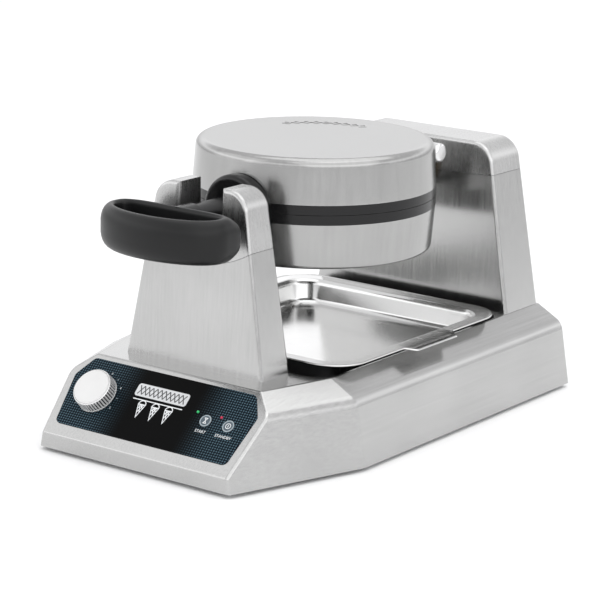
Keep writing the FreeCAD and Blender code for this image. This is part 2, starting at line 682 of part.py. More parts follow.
def bowed_form(inset, corner, low, high):
    """An upright solid with a nearly straight back and an elliptical front, moved in by an inset."""
    height = f"({high}) - ({low})"
    curve = doc.addObject("Part::Ellipse", "bow")
    curve.setExpression("MajorRadius", bound(f"handle_half - {inset}"))
    curve.setExpression("MinorRadius", bound(f"handle_middle - handle_front - {inset}"))
    place(curve, ("0", "handle_middle", low))
    bow = doc.addObject("Part::Extrusion", "bow")
    bow.Base, bow.Dir, bow.Solid = curve, Vector(0, 0, 1), True
    bow.setExpression("LengthFwd", bound(height))
    front = common(bow, slab(("-80", "handle_front - 10", low), ("80", "handle_middle", high)))
    back = rounded(slab((f"-(handle_half - {inset})", "handle_middle", low),
                        (f"handle_half - {inset}", f"handle_back - {inset}", high)),
                   (corner, lambda edge: straight(edge, Vector(0, 0, 1))
                    and middle(edge).y > number("handle_middle") + 1))
    return fuse(front, back)


def build_handle():
    """A ring grip with a nearly straight back and a bowed front, on a round neck outside the yoke."""
    outer = rounded(bowed_form("0", "18", "handle_bottom", "handle_top"),
                    ("handle_round", lambda edge: any(abs(middle(edge).z - number(level)) < 0.01
                                                      for level in ("handle_bottom", "handle_top"))))
    inner = bowed_form("handle_wall", "8", "handle_bottom - 5", "handle_top + 5")
    bolt = rod("2.6", "40", ("0", "handle_back - 20", "axis_height"), ALONG_Y)
    node("handle_grip", cut(outer, inner, bolt))
    neck = tube("stem_radius + 1.4", "2.6", "stem_front - handle_back - 0.3 + handle_round",
                ("0", "handle_back - handle_round", "axis_height"), ALONG_Y)
    node("handle_neck", cut(neck, outer))
    node("handle_screw", fuse(rod("4.5", "3", ("0", "handle_back - handle_wall - 3", "axis_height"), ALONG_Y),
                              rod("2.5", "handle_wall + 6", ("0", "handle_back - handle_wall", "axis_height"),
                                  ALONG_Y)))


# ---- tray ----

def rim_slab(inset, low, high):
    """A rounded rectangle under the tray's rim, moved in by an inset."""
    return rounded_slab((f"-(tray_half - {inset})", f"tray_front + {inset}", low),
                        (f"tray_half - {inset}", f"tray_back - {inset}", high),
                        f"tray_round - 0.7 * ({inset})")


def build_tray():
    floor_edge = ("tray_cove", lambda edge: abs(middle(edge).z - number("tray_floor")) < 0.01)
    cove_edge = ("tray_cove - tray_wall",
                 lambda edge: abs(middle(edge).z - number("tray_floor + tray_wall")) < 0.01)
    sheet = ("tray_top - 1.4", "tray_top - 0.6")
    lip = cut(rim_slab("0", sheet[0], "tray_top"), rim_slab("1.2", "tray_top - 5", "tray_top + 1"))
    lip = rounded(lip, ("0.4", lambda edge: abs(middle(edge).z - number("tray_top")) < 0.01))
    flange = cut(rim_slab("0.6", *sheet), rim_slab("tray_flange", "tray_top - 5", "tray_top + 1"))
    step = cut(rim_slab("tray_flange - tray_wall", "tray_top - 3.4", sheet[1]),
               rim_slab("tray_flange", "tray_top - 5", "tray_top + 1"))
    ledge = cut(rim_slab("tray_flange - tray_wall", "tray_top - 3.4", "tray_top - 2.6"),
                rim_slab("tray_inset", "tray_top - 5", "tray_top + 1"))
    pan = cut(rounded(rim_slab("tray_inset - tray_wall", "tray_floor", "tray_top - 2.6"), floor_edge),
              rounded(rim_slab("tray_inset", "tray_floor + tray_wall", "tray_top"), cove_edge))
    tab = rounded(slab(("tray_half - 1", "tab_front", sheet[0]), ("tab_end", "tab_back", sheet[1])),
                  ("6", lambda edge: straight(edge, Vector(0, 0, 1))
                   and middle(edge).x > number("tray_half") + 3))
    node("drip_tray", fuse(lip, flange, step, ledge, pan, tab))


for build in (build_base, build_pan, build_feet, build_well, build_panel, build_knob, build_keys,
              build_inside, build_front_post, build_rear_post, build_head, build_hinge, build_handle,
              build_tray):
    build()

doc.recompute()
failed = [item.Name for item in doc.Objects if {"Invalid", "Error"} & set(item.State)]
failed += [item.Label for item in nodes if item.Shape.isNull() or not item.Shape.isValid()]
if failed:
    raise RuntimeError("failed: " + ", ".join(failed))
os.makedirs("parts", exist_ok=True)
for item in nodes:
    item.Shape.exportStep(f"parts/{item.Label}.step")
    box = item.Shape.BoundBox
    print(f"{item.Label:20s} {len(item.Shape.Solids)} solids {item.Shape.Volume:10.0f} mm3  "
          f"x {box.XMin:.1f}..{box.XMax:.1f}  y {box.YMin:.1f}..{box.YMax:.1f}  "
          f"z {box.ZMin:.1f}..{box.ZMax:.1f}")
print(len(nodes), "nodes")
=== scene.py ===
import json
import math

import bmesh
import bpy
from mathutils import Matrix, Vector


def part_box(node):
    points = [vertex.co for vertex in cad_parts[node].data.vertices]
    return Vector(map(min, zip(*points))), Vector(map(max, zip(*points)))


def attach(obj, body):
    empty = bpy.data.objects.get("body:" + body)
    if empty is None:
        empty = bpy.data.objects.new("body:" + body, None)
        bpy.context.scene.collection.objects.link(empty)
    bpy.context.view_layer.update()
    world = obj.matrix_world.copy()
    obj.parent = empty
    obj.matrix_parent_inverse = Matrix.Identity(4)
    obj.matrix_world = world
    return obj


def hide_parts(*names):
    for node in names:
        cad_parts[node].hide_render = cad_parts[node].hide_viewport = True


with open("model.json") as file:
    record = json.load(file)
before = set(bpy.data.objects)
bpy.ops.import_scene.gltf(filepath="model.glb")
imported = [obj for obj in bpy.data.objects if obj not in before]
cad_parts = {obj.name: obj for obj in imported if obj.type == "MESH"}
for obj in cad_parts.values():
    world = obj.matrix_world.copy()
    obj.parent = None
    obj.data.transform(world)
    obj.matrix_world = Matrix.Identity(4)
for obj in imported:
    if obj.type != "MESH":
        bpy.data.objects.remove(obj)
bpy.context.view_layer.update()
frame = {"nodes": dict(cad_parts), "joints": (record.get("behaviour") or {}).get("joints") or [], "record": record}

record = frame["record"]
joints = {joint["name"]: joint for joint in frame["joints"]}
MM = 0.001
X, Z = Vector((1, 0, 0)), Vector((0, 0, 1))

# Socket numbers of the Mix node, whose inputs share their names.
MIX_FACTOR = 0
MIX_VALUE_A, MIX_VALUE_B, MIX_VALUE_OUT = 2, 3, 0
MIX_COLOUR_A, MIX_COLOUR_B, MIX_COLOUR_OUT = 6, 7, 2


# ---- procedural materials ----

class Nodes:
    """Adds shader nodes to a tree and wires them."""

    def __init__(self, tree):
        self.tree = tree

    def add(self, kind, inputs=(), **settings):
        node = self.tree.nodes.new("ShaderNode" + kind)
        for name, value in settings.items():
            setattr(node, name, value)
        for name, value in dict(inputs).items():
            self.feed(node.inputs[name], value)
        return node

    def feed(self, socket, value):
        if isinstance(value, bpy.types.NodeSocket):
            self.tree.links.new(value, socket)
        else:
            socket.default_value = value

    def math(self, operation, *values):
        node = self.add("Math", operation=operation)
        for socket, value in zip(node.inputs, values):
            self.feed(socket, value)
        return node.outputs[0]

    def vector(self, operation, a, b):
        node = self.add("VectorMath", operation=operation)
        self.feed(node.inputs[0], a)
        self.feed(node.inputs[3 if operation == "SCALE" else 1], b)
        return node.outputs["Value" if operation == "DOT_PRODUCT" else "Vector"]

    def place(self):
        return self.add("TexCoord").outputs["Object"]

    def noise(self, stretch, detail, turn=(0, 0, 0)):
        """Noise about 0, from -1 to 1; stretch is the number of features to a metre along each axis."""
        at = self.add("Mapping", {"Vector": self.place(), "Scale": stretch, "Rotation": turn}).outputs[0]
        found = self.add("TexNoise", {"Vector": at, "Scale": 1.0, "Detail": detail, "Roughness": 0.5})
        return self.math("MULTIPLY_ADD", found.outputs[0], 2.0, -1.0)

    def between(self, value, low, high):
        """A smooth step from 0 at low to 1 at high."""
        return self.add("MapRange", {"Value": value, "From Min": low, "From Max": high},
                        interpolation_type="SMOOTHSTEP").outputs[0]

    def mix(self, factor, a, b):
        node = self.add("Mix", data_type="RGBA")
        self.feed(node.inputs[MIX_FACTOR], factor)
        self.feed(node.inputs[MIX_COLOUR_A], a)
        self.feed(node.inputs[MIX_COLOUR_B], b)
        return node.outputs[MIX_COLOUR_OUT]

    def total(self, values):
        result = values[0]
        for value in values[1:]:
            result = self.math("ADD", result, value)
        return result


def rgb(red, green, blue):
    return (red, green, blue, 1.0)


# Two sets of fine scratches, each with its turn and its features to a metre; the depth is in mm.
SCRATCH_TURNS = (((0.3, 0.2, 0.5), (900, 25, 900)), ((1.2, 0.4, 2.1), (30, 800, 700)))
SCRATCH_GLOSS, SCRATCH_TONE, SCRATCH_DEPTH = 0.12, -0.05, -0.004
RUB_STRENGTH, BEVEL_SAMPLES = 0.55, 4


def finish(name, colour, roughness, layers, worn=None, tangent=None, scratches=0.0, **sockets):
    """A procedural material. colour is three numbers, or a function that makes a pattern of nodes.
    A layer is (stretch, detail, tone, gloss, relief in mm): noise that varies the colour, the roughness
    and the surface. worn is (radius in mm, colour, roughness) for rubbed edges."""
    material = bpy.data.materials.new(name)
    material.use_nodes = True
    nodes = Nodes(material.node_tree)
    shader = material.node_tree.nodes["Principled BSDF"]
    for socket, value in sockets.items():
        shader.inputs[socket.replace("_", " ")].default_value = value
    tones, glosses, reliefs = [], [], []
    for stretch, detail, tone, gloss, relief in layers:
        value = nodes.noise(stretch, detail)
        for amount, found in ((tone, tones), (gloss, glosses), (relief * MM, reliefs)):
            if amount:
                found.append(nodes.math("MULTIPLY", value, amount))
    if scratches:
        for turn, stretch in SCRATCH_TURNS:
            line = nodes.between(nodes.noise(stretch, 1.0, turn=turn), 0.42, 0.62)
            glosses.append(nodes.math("MULTIPLY", line, SCRATCH_GLOSS * scratches))
            tones.append(nodes.math("MULTIPLY", line, SCRATCH_TONE * scratches))
            reliefs.append(nodes.math("MULTIPLY", line, SCRATCH_DEPTH * MM * scratches))
    ground = colour(nodes) if callable(colour) else colour
    colour_out = nodes.vector("SCALE", ground, nodes.math("ADD", nodes.total(tones), 1.0))
    rough_out = nodes.math("ADD", nodes.total(glosses), roughness)
    if worn:
        radius, worn_colour, worn_roughness = worn
        bevel = nodes.add("Bevel", {"Radius": radius * MM}, samples=BEVEL_SAMPLES).outputs[0]
        facing = nodes.vector("DOT_PRODUCT", bevel, nodes.add("NewGeometry").outputs["Normal"])
        rub = nodes.math("MULTIPLY", nodes.between(facing, 0.995, 0.93),
                         nodes.between(nodes.noise((180, 180, 180), 3.0), -0.5, 0.4))
        colour_out = nodes.mix(nodes.math("MULTIPLY", rub, RUB_STRENGTH), colour_out, rgb(*worn_colour))
        rough_out = nodes.add("Mix", {MIX_FACTOR: rub, MIX_VALUE_A: rough_out,
                                      MIX_VALUE_B: worn_roughness}).outputs[MIX_VALUE_OUT]
    nodes.feed(shader.inputs["Base Color"], colour_out)
    nodes.feed(shader.inputs["Roughness"], rough_out)
    if reliefs:
        bump = nodes.add("Bump", {"Height": nodes.total(reliefs), "Strength": 1.0, "Distance": 1.0})
        nodes.feed(shader.inputs["Normal"], bump.outputs[0])
    if tangent:
        nodes.feed(shader.inputs["Tangent"],
                   nodes.add("Tangent", direction_type="RADIAL", axis=tangent).outputs[0])
    return material


def brushed(name, grain, tangent):
    """Stainless sheet with its grain along one axis, given by index."""
    def along(across, length):
        return tuple(length if axis == grain else across for axis in range(3))
    return finish(name, (0.49, 0.49, 0.486), 0.22, [
        (along(3600, 30), 2.0, 0.06, 0.04, 0.0004),
        (along(620, 9), 2.0, 0.11, 0.05, 0.0016),
        ((14, 14, 14), 3.0, 0.12, 0.05, 0.0)],
        worn=(1.0, (0.56, 0.56, 0.56), 0.24), tangent=tangent, Metallic=1.0, Anisotropic=0.6)


panel_out = Vector(joints["knob_turn"]["axis"])
panel_up = panel_out.cross(X)
if panel_up.z < 0:
    panel_up = -panel_up


def reach(node, axis):
    """The lowest and highest that a CAD node reaches along a direction."""
    found = [vertex.co.dot(axis) for vertex in frame["nodes"][node].data.vertices]
    return min(found), max(found)


film_low, film_high = reach("control_overlay", panel_up)
film_top = reach("control_overlay", panel_out)[1]
PANEL = Matrix((X, panel_up, panel_out)).transposed().to_4x4()
PANEL.translation = panel_up * film_low + panel_out * film_top

# The net's pitch, the place of the film's plain middle, and the distances over which the net comes in.
WEAVE_ACROSS, WEAVE_ALONG = 2.3 * MM, 2.05 * MM
PLAIN_MIDDLE, PLAIN_NEAR, PLAIN_FAR = 4 * MM, 26 * MM, 62 * MM


def weave(nodes):
    """A net of small light squares on blue-black, which fades to plain black in the middle of the panel."""
    at = nodes.place()
    across = nodes.vector("DOT_PRODUCT", at, tuple(X))
    along = nodes.vector("DOT_PRODUCT", at, tuple(panel_up))

    def cell(value, pitch):
        wave = nodes.math("PINGPONG", nodes.math("DIVIDE", value, pitch), 0.5)
        return nodes.between(wave, 0.16, 0.30)

    dots = nodes.math("MULTIPLY", cell(across, WEAVE_ACROSS), cell(along, WEAVE_ALONG))
    from_middle = nodes.math("ABSOLUTE", nodes.math("SUBTRACT", across, PLAIN_MIDDLE))
    fade = nodes.between(from_middle, PLAIN_NEAR, PLAIN_FAR)
    ground = nodes.mix(fade, rgb(0.0004, 0.0005, 0.0006), rgb(0.0015, 0.004, 0.008))
    return nodes.mix(nodes.math("MULTIPLY", dots, fade), ground, rgb(0.062, 0.11, 0.138))


cast_layers = [((2600, 2600, 2600), 3.0, 0.04, 0.04, 0.002), ((320, 320, 60), 3.0, 0.06, 0.04, 0.002),
               ((22, 22, 22), 2.0, 0.12, 0.05, 0.0)]
moulded = [((2400, 2400, 2400), 3.0, 0.06, 0.05, 0.010), ((500, 500, 500), 2.0, 0.05, 0.05, 0.006),
           ((22, 22, 22), 3.0, 0.10, 0.05, 0.0)]
plain = [((1500, 1500, 1500), 3.0, 0.06, 0.06, 0.003), ((60, 60, 60), 3.0, 0.08, 0.05, 0.0)]
finishes = {
    "brushed_steel": brushed("steel_base", 1, "Y"),
    # Painted shade: the inner steel is drawn near-black, standing in for the shade inside the base around the
    # tray.
    "inner_steel": finish("inner_shade_black", (0.02, 0.02, 0.021), 0.5, moulded),
    "plain_sheet": finish("zinc_sheet", (0.55, 0.56, 0.57), 0.38, [
        ((90, 90, 90), 1.0, 0.12, 0.10, 0.0), ((1200, 1200, 1200), 2.0, 0.05, 0.05, 0.003)], Metallic=1.0),
    "cast_aluminium": finish("cast_satin", (0.53, 0.53, 0.527), 0.27, cast_layers,
                             worn=(1.6, (0.62, 0.62, 0.62), 0.24), Metallic=1.0),
    "black_rim": finish("rim_black", (0.005, 0.005, 0.0055), 0.22, moulded,
                        worn=(0.8, (0.04, 0.04, 0.04), 0.26), scratches=0.6, Specular_IOR_Level=0.35),
    "handle_black": finish("handle_soft", (0.005, 0.0052, 0.0055), 0.36, moulded,
                           worn=(2.0, (0.05, 0.05, 0.05), 0.30), scratches=0.4, Specular_IOR_Level=0.32),
    "tray_steel": finish("tray_polished", (0.66, 0.66, 0.656), 0.17, [
        ((3000, 3000, 3000), 2.0, 0.015, 0.03, 0.0006), ((45, 45, 45), 2.0, 0.02, 0.04, 0.006)],
        scratches=1.0, Metallic=1.0),
    "panel_film": finish("film_weave", weave, 0.42, [
        ((3500, 3500, 3500), 2.0, 0.05, 0.04, 0.0008), ((30, 30, 30), 2.0, 0.06, 0.04, 0.0)],
        Specular_IOR_Level=0.06),
    "knob_metal": finish("knob_bright", (0.78, 0.78, 0.78), 0.27, [
        ((4000, 4000, 4000), 2.0, 0.03, 0.05, 0.001), ((120, 120, 120), 2.0, 0.04, 0.04, 0.0)],
        Metallic=0.45),
    "knob_white": finish("knob_face", (0.68, 0.68, 0.675), 0.34, [
        ((2500, 2500, 2500), 2.0, 0.02, 0.05, 0.003), ((70, 70, 70), 3.0, 0.03, 0.04, 0.0)]),
    "key_plastic": finish("key_moulded", (0.060, 0.085, 0.105), 0.38, [
        ((2500, 2500, 2500), 2.0, 0.06, 0.05, 0.003), ((150, 150, 150), 2.0, 0.08, 0.04, 0.0)]),
    "lamp_green": finish("lens_green", (0.02, 0.35, 0.10), 0.16, plain, Emission_Color=rgb(0.05, 0.9, 0.30),
                         Emission_Strength=0.12),
    "lamp_red": finish("lens_red", (0.45, 0.01, 0.05), 0.16, plain, Emission_Color=rgb(0.9, 0.02, 0.10),
                       Emission_Strength=0.08),
    "rubber_foot": finish("rubber", (0.02, 0.02, 0.02), 0.7, moulded),
    "fastener_zinc": finish("zinc_bright", (0.62, 0.63, 0.64), 0.28, plain, Metallic=1.0),
    "hinge_steel": finish("ground_steel", (0.72, 0.72, 0.72), 0.16, plain,
                          worn=(0.6, (0.85, 0.85, 0.85), 0.12), Metallic=1.0),
    "plate_iron": finish("seasoned_iron", (0.035, 0.031, 0.028), 0.42, [
        ((900, 900, 900), 3.0, 0.18, 0.10, 0.02), ((35, 35, 35), 3.0, 0.25, 0.10, 0.0)],
        worn=(0.7, (0.14, 0.12, 0.10), 0.32), Metallic=0.6),
    "element_sheath": finish("oxide_sheath", (0.16, 0.12, 0.10), 0.5, plain, Metallic=1.0),
    "bush_bronze": finish("oiled_bronze", (0.10, 0.08, 0.055), 0.42, plain, Metallic=1.0),
    "board_green": finish("board_laminate", (0.02, 0.13, 0.06), 0.4, plain),
    "black_part": finish("part_black", (0.02, 0.02, 0.021), 0.42, moulded),
    "terminal_white": finish("nylon_white", (0.72, 0.71, 0.66), 0.45, plain),
    "transformer_core": finish("core_varnish", (0.10, 0.09, 0.08), 0.4, [
        ((2, 2, 1800), 1.0, 0.3, 0.15, 0.05), ((60, 60, 60), 2.0, 0.1, 0.05, 0.0)], Metallic=0.5),
}
tower_steel = brushed("steel_tower", 2, "Z")
shell_cast = finish("shell_satin", (0.39, 0.39, 0.386), 0.20, [
    ((2600, 2600, 2600), 3.0, 0.04, 0.04, 0.002), ((240, 240, 14), 3.0, 0.10, 0.06, 0.003),
    ((13, 13, 20), 3.0, 0.10, 0.05, 0.0)], worn=(1.6, (0.56, 0.56, 0.56), 0.22), Metallic=1.0)
print_white = finish("ink_white", (0.74, 0.76, 0.77), 0.4, plain)
print_silver = finish("ink_silver", (0.62, 0.63, 0.64), 0.3, [
    ((2500, 2500, 2500), 2.0, 0.04, 0.05, 0.001), ((90, 20, 90), 2.0, 0.10, 0.05, 0.0)], Metallic=0.85)
print_grey = finish("ink_grey", (0.30, 0.35, 0.38), 0.4, plain)

for part in record["subparts"]:
    skin = finishes[part["material_slot"]]
    if part["node"] in ("front_post", "rear_post"):
        skin = tower_steel
    elif part["node"] in ("upper_shell", "lower_shell"):
        skin = shell_cast
    mesh = frame["nodes"][part["node"]].data
    mesh.materials.clear()
    mesh.materials.append(skin)


# ---- meshes ----

def clean(mesh, merge=False):
    """Turns a closed mesh's faces outwards, after merging the points that coincide where asked."""
    work = bmesh.new()
    work.from_mesh(mesh)
    if merge:
        bmesh.ops.remove_doubles(work, verts=work.verts, dist=1e-7)
    bmesh.ops.recalc_face_normals(work, faces=work.faces)
    work.to_mesh(mesh)
    work.free()


def mesh_of(name, points, faces, merge=False):
    mesh = bpy.data.meshes.new(name)
    mesh.from_pydata([tuple(point) for point in points], [], faces)
    clean(mesh, merge)
    return mesh


def placed(name, data):
    """An object of the scene that holds a mesh, a lamp, a camera or a text."""
    item = bpy.data.objects.new(name, data)
    bpy.context.scene.collection.objects.link(item)
    return item


def shade(mesh, smooth):
    """Smooth shading with sharp edges past an angle in degrees."""
    mesh.shade_smooth()
    mesh.set_sharp_from_angle(angle=math.radians(smooth))


def piece(name, shape, body, skin, replaced=(), smooth=40.0):
    """Makes an object of the model from points and faces, with its body, slot, finish and shading."""
    mesh = mesh_of(name, *shape, merge=True)
    mesh.materials.append(skin)
    item = placed(name, mesh)
    shade(mesh, smooth)
    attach(item, body)
    if replaced:
        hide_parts(*replaced)
    return item


def joined(*parts):
    """One list of points and faces from several."""
    points, faces = [], []
    for more_points, more_faces in parts:
        faces += [[index + len(points) for index in face] for face in more_faces]
        points += more_points
    return points, faces


def loops(rings, closed_profile=False):
    """Quads between successive closed rings of equal length, and caps on the ends of an open row of rings."""
    count = len(rings[0])
    points = [point for ring in rings for point in ring]
    faces = []
    last = len(rings) if closed_profile else len(rings) - 1
    for row in range(last):
        here, there = row * count, (row + 1) % len(rings) * count
        for step in range(count):
            after = (step + 1) % count
            faces.append([here + step, here + after, there + after, there + step])
    if not closed_profile:
        faces.append(list(range(count))[::-1])
        faces.append(list(range((len(rings) - 1) * count, len(rings) * count)))
    return points, faces


def circle_point(radius, step, count):
    """A point on a circle about the origin, at step out of count."""
    angle = 2 * math.pi * step / count
    return radius * math.cos(angle), radius * math.sin(angle)


def turned(profile, matrix, count, wave=None, closed_profile=False):
    """A solid of revolution about the Z of a matrix; wave changes the radius with the angle."""
    rings = []
    for radius, height in profile:
        ring = []
        for step in range(count):
            here = radius + (wave(step, radius, height) if wave else 0.0)
            ring.append(matrix @ Vector((*circle_point(here, step, count), height)))
        rings.append(ring)
    return loops(rings, closed_profile)


def prism(shape, matrix, low, high):
    """A plate from a closed outline, in the plane of a matrix."""
    return loops([[matrix @ Vector((x, y, height)) for x, y in shape] for height in (low, high)])


# The least cosine of half a corner's turn that a mitre follows.
MITRE_LIMIT = 0.35


def ribbon(path, width, matrix, low, high, closed=False):
    """A line of even width along a path, as a thin raised strip with mitred corners."""
    count = len(path)
    left, right = [], []
    for index, (x, y) in enumerate(path):
        before = path[index - 1] if index or closed else None
        after = path[(index + 1) % count] if index < count - 1 or closed else None
        here = Vector((x, y))
        come = (here - Vector(before)).normalized() if before else None
        leave = (Vector(after) - here).normalized() if after else None
        way = ((come or leave) + (leave or come)).normalized()
        side = Vector((-way.y, way.x))
        square = Vector((-(leave or come).y, (leave or come).x))
        aside = side * (width / 2 / max(MITRE_LIMIT, side.dot(square)))
        left.append(here + aside)
        right.append(here - aside)
    points = [matrix @ Vector((point.x, point.y, height))
              for edge, height in ((left, low), (left, high), (right, high), (right, low)) for point in edge]
    faces = []
    for row in range(4):
        here, there = row * count, (row + 1) % 4 * count
        for step in range(count if closed else count - 1):
            after = (step + 1) % count
            faces.append([here + step, here + after, there + after, there + step])
    if not closed:
        faces += [[0, count, 2 * count, 3 * count],
                  [4 * count - 1, 3 * count - 1, 2 * count - 1, count - 1]]
    return points, faces


def arc(x, y, radius, start, end, steps):
    """Points on an arc, angles in degrees."""
    return [(x + radius * math.cos(math.radians(start + (end - start) * step / steps)),
             y + radius * math.sin(math.radians(start + (end - start) * step / steps)))
            for step in range(steps + 1)]


def ring_of(x, y, radius):
    """Points on a full circle, the first not repeated."""
    steps = 48
    return arc(x, y, radius, 0, 360 - 360 / steps, steps - 1)


def outline(left, right, low, high, radius, steps, spans):
    """A rounded rectangle, its corners counterclockwise from the low right one, with spans points a side."""
    corners = []
    for x, y, start in ((right, low, -90), (right, high, 0), (left, high, 90), (left, low, 180)):
        centre = (x - math.copysign(radius, x - (left + right) / 2),
                  y - math.copysign(radius, y - (low + high) / 2))
        corners.append(arc(*centre, radius, start, start + 90, steps))
    closed = []
    for index, corner in enumerate(corners):
        closed += corner
        begin, end = corner[-1], corners[(index + 1) % 4][0]
        for step in range(1, spans[index]):
            share = step / spans[index]
            closed.append((begin[0] + (end[0] - begin[0]) * share, begin[1] + (end[1] - begin[1]) * share))
    return closed


# ---- handle ----

def bowed(half, depth_front, depth_back, squareness, middle_y, count):
    """A closed outline: half an ellipse in front and a nearly straight back with round corners."""
    points = []
    for step in range(count):
        angle = 2 * math.pi * step / count
        across, along = abs(math.cos(angle)), abs(math.sin(angle))
        power, depth = (2.0, depth_front) if math.sin(angle) < 0 else (squareness, depth_back)
        radius = ((across / half) ** power + (along / depth) ** power) ** (-1 / power)
        points.append((radius * math.cos(angle), middle_y + radius * math.sin(angle)))
    return points


# The upper half of the ring's section, from its inner side to its outer side: distance in from the
# outer side and height above the middle, in mm.
GRIP_SECTION = [
    (11.0, 0.0), (11.0, 12.8), (10.85, 14.6), (10.3, 15.9), (9.2, 16.7), (7.8, 16.85), (6.0, 16.4),
    (4.2, 15.2), (2.6, 13.4), (1.3, 11.0), (0.45, 8.2), (0.0, 5.0)]


def build_handle():
    low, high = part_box("handle_grip")
    middle_z, half = (low.z + high.z) / 2, high.x
    back_depth, wall, count = 21.5 * MM, 11 * MM, 240
    middle_y = high.y - back_depth
    front_depth = middle_y - low.y
    outer_squareness, inner_squareness = 6.9, 4.5
    outer = bowed(half, front_depth, back_depth, outer_squareness, middle_y, count)
    inner = bowed(half - wall, front_depth - wall, back_depth - wall, inner_squareness, middle_y, count)
    stretch = (high.z - low.z) / 2 / (max(height for inset, height in GRIP_SECTION) * MM)
    lower_half = [(inset, -height) for inset, height in reversed(GRIP_SECTION[1:])]
    rings = []
    for inset, height in GRIP_SECTION + lower_half:
        share = inset * MM / wall
        rings.append([Vector((a[0] + (b[0] - a[0]) * share, a[1] + (b[1] - a[1]) * share,
                              middle_z + height * MM * stretch)) for a, b in zip(outer, inner)])
    piece("handle_ring", loops(rings, closed_profile=True), "lid", finishes["handle_black"],
          ["handle_grip"], smooth=60)


# ---- tray ----

# The tray's section in mm, inset from the lip's edge and height from its top: the upper side from the edge
# to the floor, then the lower side back to the edge.
TRAY_UPPER = [
    (0.6, -1.4), (0.15, -1.2), (0.0, -0.8), (0.12, -0.35), (0.5, -0.06), (0.95, 0.0), (1.4, -0.14),
    (1.9, -0.5), (2.6, -0.6), (11.5, -0.75), (12.2, -0.85), (12.9, -1.35), (13.4, -2.0), (14.1, -2.4),
    (14.7, -3.2), (15.2, -5.5), (16.9, -16.6), (17.3, -18.0), (18.3, -19.2), (20.4, -20.4),
    (23.4, -21.4), (26.6, -22.0), (30.0, -22.2)]
TRAY_LOWER = [
    (30.0, -23.1), (26.2, -22.9), (22.8, -22.2), (19.6, -21.1), (17.3, -19.9), (16.2, -18.3),
    (15.9, -16.8), (14.3, -6.0), (13.9, -4.3), (13.2, -3.3), (12.4, -2.7), (12.0, -2.0), (11.4, -1.6),
    (2.4, -1.4)]


def build_tray():
    low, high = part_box("drip_tray")
    half = -low.x
    tab_reach, tab_drop, tab_inset = high.x - half, 1.5 * MM, 3.7 * MM
    tab_low, tab_high, tab_bend = -10.3 * MM, 60.4 * MM, 8.5 * MM
    outer_round, least_round, round_loss = 30 * MM, 6 * MM, 0.62
    corner_steps, side_spans = 14, (96, 16, 30, 16)

    def ring(inset, drop):
        """The tray's outline at one point of its section, drawn out to the tab on the right side."""
        radius = max(outer_round - round_loss * inset, least_round)
        row = []
        for x, y in outline(-half + inset, half - inset, low.y + inset, high.y - inset, radius, corner_steps,
                            side_spans):
            share = 0.0
            if x > half - inset - 0.5 * MM:
                share = (min(1.0, max(0.0, (y - tab_low) / tab_bend))
                         * min(1.0, max(0.0, (tab_high - y) / tab_bend)))
                share = share * share * (3 - 2 * share)
            pull = share * max(0.0, 1 - inset / tab_inset)
            row.append(Vector((x + tab_reach * pull, y, high.z + drop - tab_drop * pull)))
        return row

    rings = [ring(inset * MM, drop * MM) for inset, drop in TRAY_UPPER + TRAY_LOWER]
    points, faces = loops(rings, closed_profile=True)
    # The floor is closed by one face above and one below, in place of the wall between their edges.
    count, inside = len(rings[0]), len(TRAY_UPPER) - 1
    faces = [face for face in faces if face[0] // count != inside]
    faces.append(list(range(inside * count, (inside + 1) * count)))
    faces.append([(inside + 1) * count + index for index in range(count)][::-1])
    piece("tray_pan", (points, faces), "tray", finishes["tray_steel"], ["drip_tray"], smooth=50)


# ---- knob ----

# Share of the full depth at each step from one flute to the next.
FLUTE_WAVE = (0, 0, 0, 0.6, 1, 1, 0.6, 0)


